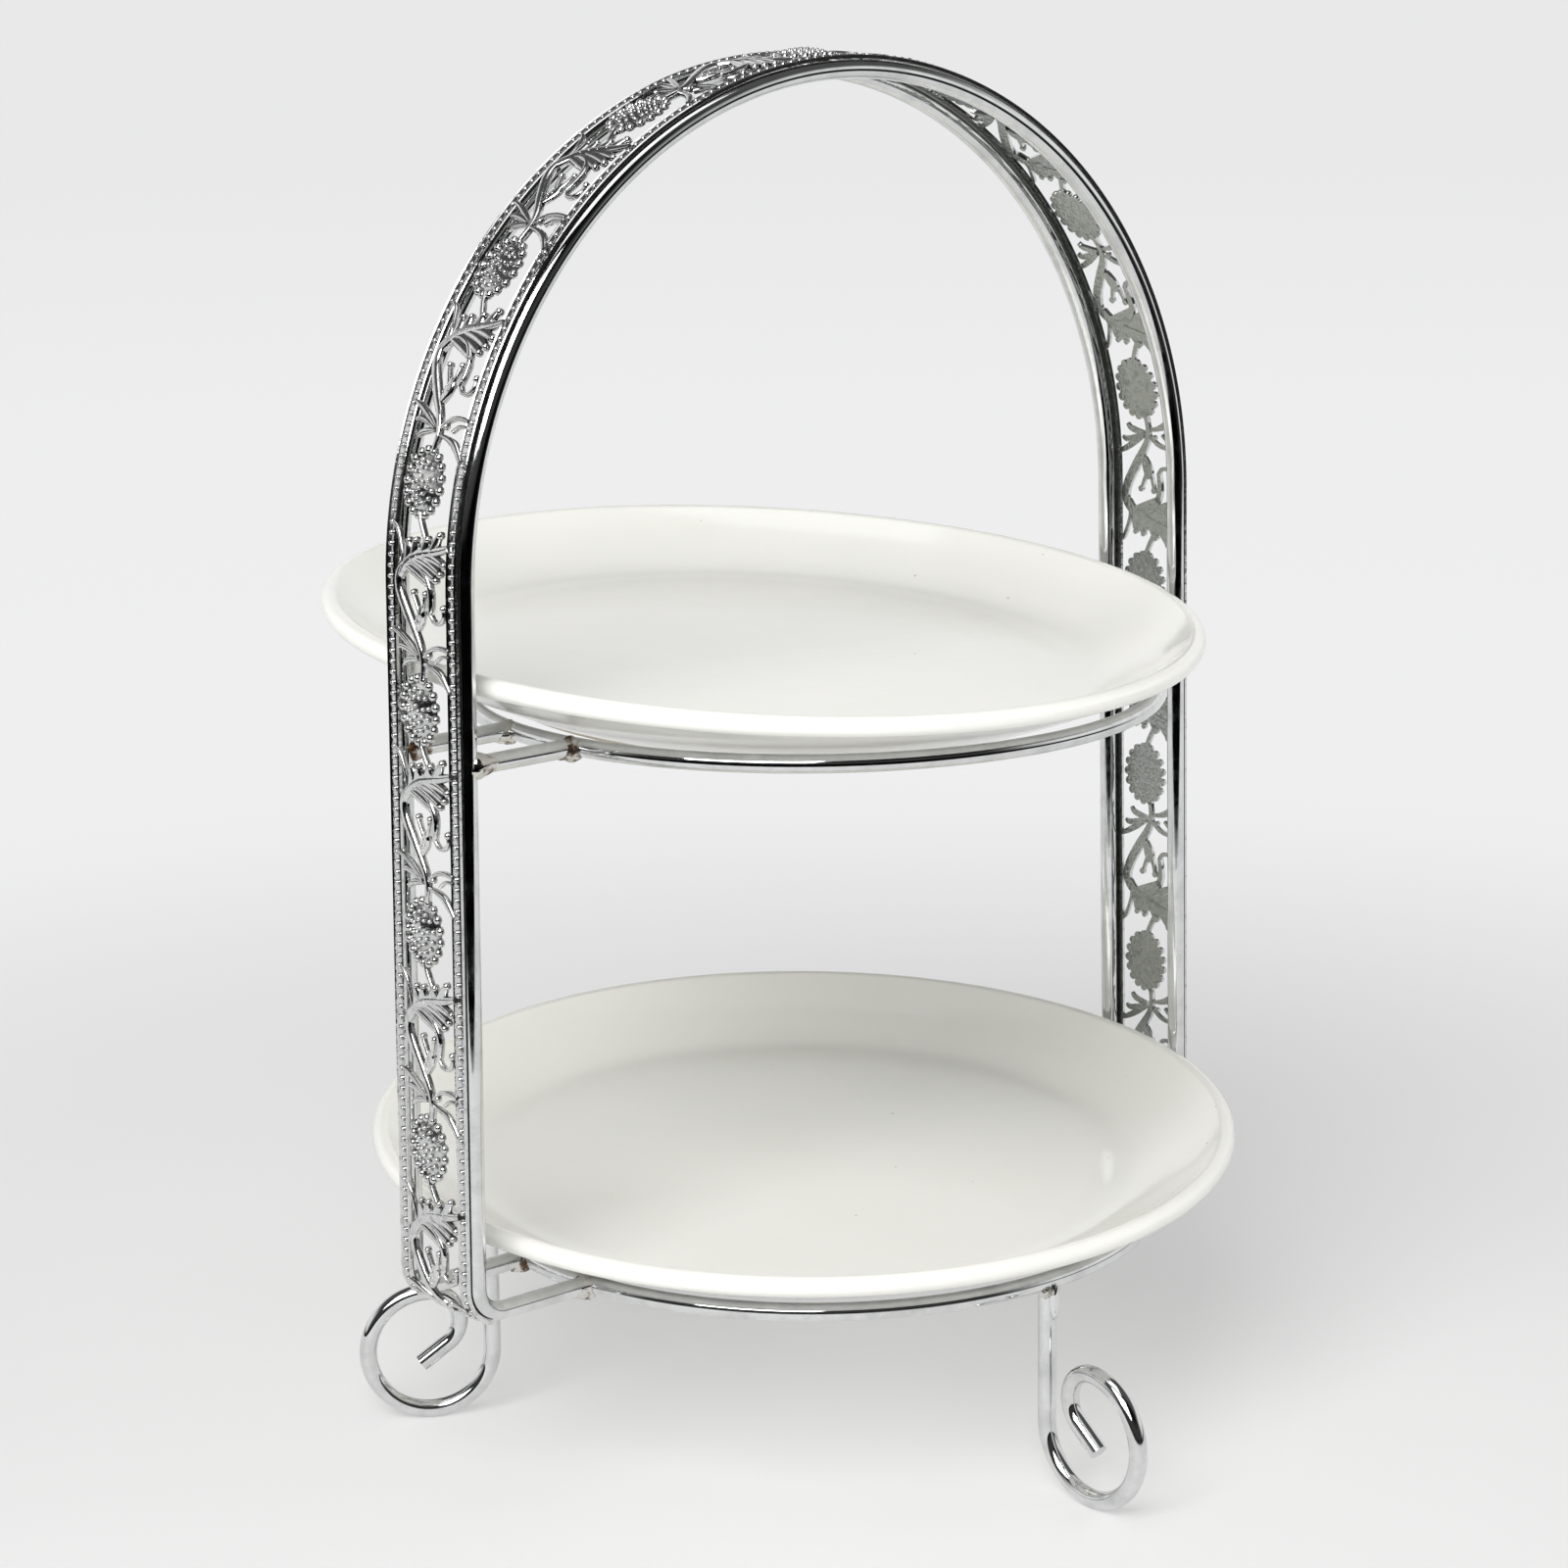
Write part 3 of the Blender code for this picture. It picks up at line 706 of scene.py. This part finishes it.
# The outline from the middle of the dish round to the middle of the base: radius and height.
inner_foot, outer_foot = FOOT_RING
inside = curve_through(((0.0, -FLOOR_DEPTH), (0.045, -FLOOR_DEPTH), (0.080, -FLOOR_DEPTH),
                        (0.0925, -0.0122), (0.1000, -0.0100), (0.1075, -0.0062), (0.1130, -0.0028),
                        (0.1164, -0.0003), (0.1179, 0.0009)), 6)
rim = arc((RIM_R, 0.0), BEAD_R, 136, -236, 28)
below = [(RIM_R - 0.0028, underside(RIM_R - 0.0028))]
below += [(r, underside(r)) for r in (0.1150, 0.1100, 0.1040, 0.0980, 0.0920, 0.0870, 0.0830)]
foot_face = [(outer_foot + 0.0006, -0.0206), (outer_foot, -FOOT_DEPTH),
             (inner_foot + 0.001, -FOOT_DEPTH)]
base = [(inner_foot, -0.0206), (inner_foot - 0.001, -BASE_DEPTH - 0.0004), (0.068, -BASE_DEPTH),
        (0.0, -BASE_DEPTH)]
plate_outline = inside + rim + below + foot_face + base
plate_finishes = (white_glaze(), bare_stoneware())
PLATE_STEPS = 192

for body in ("upper_plate", "lower_plate"):
    mount = next(m for m in frame["record"]["mounts"] if m["name"] == f"{body}_floor")
    up = Vector(mount["axis"]).normalized()
    centre = Vector(mount["pos_m"]) + up * FLOOR_DEPTH
    turn_up = Vector((0, 0, 1)).rotation_difference(up)
    plate_mesh = bmesh.new()
    turned = []
    for i in range(PLATE_STEPS):
        turn = 2 * math.pi * i / PLATE_STEPS
        spokes = [Vector((r * math.cos(turn), r * math.sin(turn), z)) for r, z in plate_outline[1:-1]]
        turned.append([plate_mesh.verts.new(centre + turn_up @ spoke) for spoke in spokes])
    top = plate_mesh.verts.new(centre - up * FLOOR_DEPTH)
    bottom = plate_mesh.verts.new(centre - up * BASE_DEPTH)
    for i, near in enumerate(turned):
        far = turned[(i + 1) % PLATE_STEPS]
        plate_mesh.faces.new((top, near[0], far[0]))
        plate_mesh.faces.new((bottom, far[-1], near[-1]))
        for k in range(len(near) - 1):
            face = plate_mesh.faces.new((near[k], near[k + 1], far[k + 1], far[k]))
            ends = {plate_outline[k + 1], plate_outline[k + 2]}
            face.material_index = 1 if ends <= set(foot_face) else 0
    plate = add_piece(f"{body}_glazed", plate_mesh, plate_finishes, body)
    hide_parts(body)


# ---------------------------------------------------------------------------------------------
# Studio: a pale table top that runs out into a pale sweep, a large soft light from the front left
# with a weak one overhead, and two low fills. The chrome sees the table only near the stand, and a
# dark room beyond it draws the dark lines in the wires.
# ---------------------------------------------------------------------------------------------
VIEW = Vector((0.645, 0.764, 0))         # level direction from the camera to the stand
ACROSS = VIEW.cross(Vector((0, 0, 1)))
TABLE_CENTRE = 0.5                       # along the view, from the stand
TABLE_HALF = 1.6                         # across it
SWEEP_REACH = 40.0


def stage_piece(name, bm, material):
    mesh = bpy.data.meshes.new(name)
    bm.to_mesh(mesh)
    bm.free()
    mesh.materials.append(material)
    piece = bpy.data.objects.new(name, mesh)
    bpy.context.scene.collection.objects.link(piece)
    return piece


def table_edge(share, steps=96):
    """The oval edge of the table top, or a share of the way from there to the sweep's far edge."""
    spots = []
    for k in range(steps):
        angle = 2 * math.pi * k / steps
        near = VIEW * (TABLE_CENTRE + math.cos(angle)) + ACROSS * (TABLE_HALF * math.sin(angle))
        spots.append(near.lerp(near.normalized() * SWEEP_REACH, share))
    return spots


def pale_paper():
    """Matt paper mixed with a painted glow, which brightens with distance as a sweep does: 38 per cent
    near the stand, where it lightens the stand's shadow, and all glow far out, an evenly bright sweep.
    """
    made = new_material("matt_pale_paper_with_painted_glow")
    place = add_node(made, "ShaderNodeTexCoord").outputs["Object"]
    away = add_node(made, "ShaderNodeVectorMath", {"operation": "LENGTH"}, {0: place})
    # Share of painted glow: at least 38 per cent, even in the shadow under the stand.
    share = add_node(made, "ShaderNodeMapRange", {"interpolation_type": "SMOOTHSTEP"}, {
        "Value": away.outputs["Value"], "From Min": 0.22, "From Max": 0.8, "To Min": 0.38})
    glow_share = add_node(made, "ShaderNodeMapRange", {"interpolation_type": "SMOOTHSTEP"}, {
        "Value": away.outputs["Value"], "From Min": 0.6, "From Max": 5.0})
    glow_tone = add_node(made, "ShaderNodeMix", {"data_type": "RGBA"}, {
        0: glow_share.outputs["Result"], 6: linear("#EFEFF0"), 7: linear("#E9E9EA")})
    paper = add_node(made, "ShaderNodeBsdfPrincipled", inputs={
        "Base Color": linear("#E6E6E5"), "Roughness": 0.6})
    # Painted light: the paper gives off this glow though it is no lamp.
    glow = add_node(made, "ShaderNodeEmission", inputs={"Color": glow_tone.outputs[2]})
    both = add_node(made, "ShaderNodeMixShader", inputs={
        0: share.outputs["Result"], 1: paper.outputs["BSDF"], 2: glow.outputs["Emission"]})
    add_node(made, "ShaderNodeOutputMaterial", inputs={"Surface": both.outputs["Shader"]})
    return made


paper = pale_paper()
table_mesh = bmesh.new()
table_mesh.faces.new([table_mesh.verts.new(spot) for spot in table_edge(0)])
stage_piece("table_top", table_mesh, paper)
sweep_mesh = bmesh.new()
near_edge, far_edge = ([sweep_mesh.verts.new(spot) for spot in table_edge(share)] for share in (0, 1))
for k in range(len(near_edge)):
    sweep_mesh.faces.new((near_edge[k - 1], far_edge[k - 1], far_edge[k], near_edge[k]))
sweep = stage_piece("table_sweep", sweep_mesh, paper)
sweep.visible_glossy = False

world = bpy.data.worlds.new("studio_room")
bpy.context.scene.world = world
world.use_nodes = True
world.node_tree.nodes.clear()
toward = add_node(world, "ShaderNodeTexCoord").outputs["Generated"]
split = add_node(world, "ShaderNodeSeparateXYZ", inputs={"Vector": toward})
# The walls are lit from the horizon up, except on the camera's side.
horizon = add_node(world, "ShaderNodeMapRange", {"interpolation_type": "SMOOTHSTEP"}, {
    "Value": split.outputs["Z"], "From Min": 0.0, "From Max": 0.12, "To Min": 0.02, "To Max": 0.95})
behind = add_node(world, "ShaderNodeVectorMath", {"operation": "DOT_PRODUCT"}, {0: toward, 1: VIEW})
lit_side = add_node(world, "ShaderNodeMapRange", {"interpolation_type": "SMOOTHSTEP"}, {
    "Value": behind.outputs["Value"], "From Min": -0.55, "From Max": -0.05,
    "To Min": 0.05, "To Max": 1.0})
walls = add_node(world, "ShaderNodeMath", {"operation": "MULTIPLY"}, {
    0: horizon.outputs["Result"], 1: lit_side.outputs["Result"]})
# The sweep stands behind the object, over about a third of the horizon.
paper_glow = add_node(world, "ShaderNodeMapRange", {"interpolation_type": "SMOOTHSTEP"}, {
    "Value": behind.outputs["Value"], "From Min": 0.2, "From Max": 0.7, "To Max": 0.85})
brightest = add_node(world, "ShaderNodeMath", {"operation": "MAXIMUM"}, {
    0: walls.outputs["Value"], 1: paper_glow.outputs["Result"]})
# Both end about 25 degrees up, below an unlit ceiling.
ceiling = add_node(world, "ShaderNodeMapRange", {"interpolation_type": "SMOOTHSTEP"}, {
    "Value": split.outputs["Z"], "From Min": 0.28, "From Max": 0.58, "To Min": 1.0, "To Max": 0.10})
brightness = add_node(world, "ShaderNodeMath", {"operation": "MULTIPLY"}, {
    0: brightest.outputs["Value"], 1: ceiling.outputs["Result"]})
room = add_node(world, "ShaderNodeBackground", inputs={
    "Color": (1, 1, 1, 1), "Strength": brightness.outputs["Value"]})
# Looked at directly, the room is as pale as the far end of the sweep.
looked_at = add_node(world, "ShaderNodeLightPath").outputs["Is Camera Ray"]
pale = add_node(world, "ShaderNodeBackground", inputs={"Color": linear("#E9E9EA")})
shown = add_node(world, "ShaderNodeMixShader", inputs={
    0: looked_at, 1: room.outputs["Background"], 2: pale.outputs["Background"]})
add_node(world, "ShaderNodeOutputWorld", inputs={"Surface": shown.outputs["Shader"]})


def add_softbox(name, at, aim, size, power, mirrored=True):
    """A rectangular soft light; one that is not mirrored leaves no highlight in the chrome."""
    lamp = bpy.data.lights.new(name, "AREA")
    lamp.shape = "RECTANGLE"
    lamp.size, lamp.size_y = size
    lamp.energy = power
    item = bpy.data.objects.new(name, lamp)
    item.location = at
    item.rotation_euler = (Vector(aim) - Vector(at)).to_track_quat("-Z", "Y").to_euler()
    item.visible_glossy = mirrored
    bpy.context.scene.collection.objects.link(item)


add_softbox("overhead_softbox", (-0.2, -0.1, 1.5), (0, 0, 0.1), (0.9, 0.9), 3.8)
add_softbox("front_left_softbox", (-1.3, -0.7, 1.3), (0, 0, 0.15), (1.3, 1.1), 34)
add_softbox("low_front_fill", (-1.2, -1.4, 0.75), (0, 0, 0.15), (2.0, 1.0), 11, mirrored=False)
add_softbox("low_right_fill", (1.3, -1.0, 0.7), (0, 0, 0.15), (1.6, 1.0), 9, mirrored=False)

# Camera: the angle that shows the left leg in front and a long view into both plates.
camera_data = bpy.data.cameras.new("camera")
camera_data.lens = 90.1
camera_data.sensor_width = 36
camera = bpy.data.objects.new("camera", camera_data)
yaw, pitch, roll = math.radians(40.16), math.radians(13.14), math.radians(-0.745)
ahead = Vector((math.sin(yaw) * math.cos(pitch), math.cos(yaw) * math.cos(pitch), -math.sin(pitch)))
camera.location = (-0.6974, -0.8128 + ring_y, 0.4301)
camera.rotation_mode = "QUATERNION"
camera.rotation_quaternion = ahead.to_track_quat("-Z", "Y") @ Quaternion((0, 0, 1), roll)
bpy.context.scene.collection.objects.link(camera)
bpy.context.scene.camera = camera
bpy.context.scene.view_settings.view_transform = "Standard"
